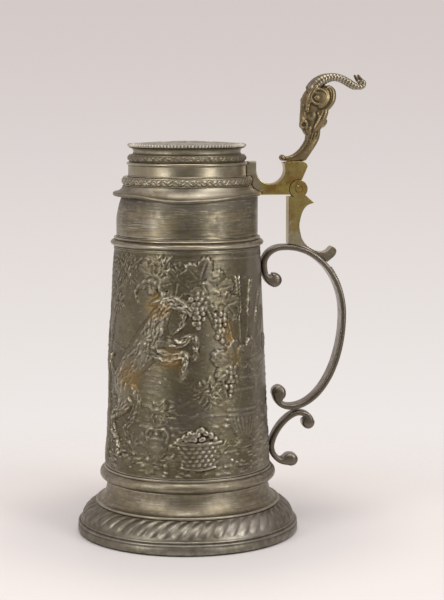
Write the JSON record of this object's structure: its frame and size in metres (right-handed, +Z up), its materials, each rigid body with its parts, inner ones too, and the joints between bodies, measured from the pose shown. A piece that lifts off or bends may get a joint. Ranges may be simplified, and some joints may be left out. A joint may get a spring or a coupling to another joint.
{
  "type": "lidded tankard",
  "caption": "Tall tapered metal tankard with a spreading foot, a relief drum, a two-scroll handle and a hinged lid opened by a ram's-head thumb lift.",
  "frame": {"origin": "centre of the flat base, on the vessel's axis", "axes": "+Z up along the vessel's axis, +X towards the handle and the hinge, Y along the hinge pin"},
  "size_m": [0.1685, 0.1292, 0.2658],
  "materials": {
    "pewter": "old pewter, satin, grey-brown patina",
    "dark_pewter": "dark handled pewter",
    "worn_brass": "worn brassy metal",
    "brown_bronze": "brown cast bronze"
  },
  "bodies": {
    "vessel": {"foot_rim": "pewter", "base_plate": "pewter", "foot_cove": "pewter", "foot_bead": "pewter", "relief_drum": "pewter", "shoulder_ring": "pewter", "neck_band": "pewter", "handle_scroll": "dark_pewter", "handle_tail": "dark_pewter", "hinge_post": "worn_brass", "hinge_pin": "worn_brass"},
    "lid": {"lid_hem": "pewter", "lid_leaf_band": "pewter", "lid_wall": "pewter", "lid_collar": "pewter", "lid_top_plate": "pewter", "lid_strap": "worn_brass", "thumb_lift_stem": "brown_bronze", "thumb_lift_head": "brown_bronze", "thumb_lift_horn_near": "brown_bronze", "thumb_lift_horn_far": "brown_bronze"}
  },
  "joints": [
    {"name": "lid_hinge", "type": "hinge", "parent": "vessel", "child": "lid", "pos_m": [0.0649, 0, 0.2], "axis": [0, 1, 0], "range_deg": [0, 108]}
  ]
}
